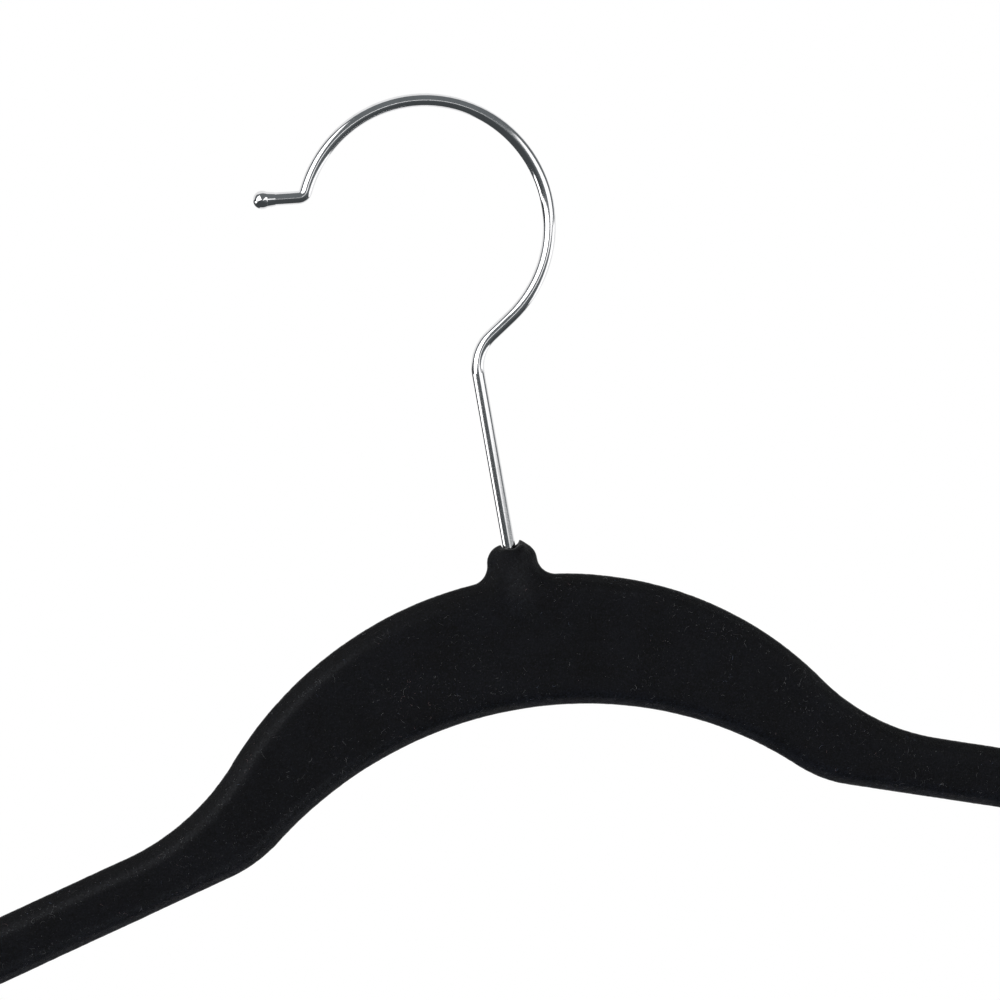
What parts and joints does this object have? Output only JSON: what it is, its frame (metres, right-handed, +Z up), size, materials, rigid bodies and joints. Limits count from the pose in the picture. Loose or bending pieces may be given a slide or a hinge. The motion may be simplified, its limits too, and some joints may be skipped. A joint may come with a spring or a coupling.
{
  "type": "clothes hanger",
  "caption": "Slim arched clothes hanger with a velvet-flocked body, straight sloping arms with strap notches, and a round wire hook that swivels in a central boss.",
  "frame": {"origin": "the point on the inner side of the hook, straight above the swivel axis, that rests on the rail", "axes": "+Z up along the swivel axis, +X along the arms, the front faces -Y; the hook's mouth opens towards -X"},
  "size_m": [0.445, 0.0076, 0.2196],
  "materials": {
    "chrome_wire": "bright chrome plate on round steel wire",
    "chrome_ball": "bright chrome plate",
    "collar_steel": "turned",
    "bush_brass": "knurled outside, reamed inside",
    "core_plastic": "moulded, dull",
    "black_flock": "short dense velvet flock"
  },
  "bodies": {
    "hook": {"hook_wire": "chrome_wire", "hook_tip_ball": "chrome_ball", "stop_collar": "collar_steel"},
    "hanger_body": {"hanger_core": "core_plastic", "swivel_bush": "bush_brass", "velvet_flock": "black_flock"}
  },
  "joints": [
    {"name": "hook_swivel", "type": "hinge", "parent": "hook", "child": "hanger_body", "pos_m": [0, 0, -0.0977], "axis": [0, 0, 1], "continuous": true}
  ]
}
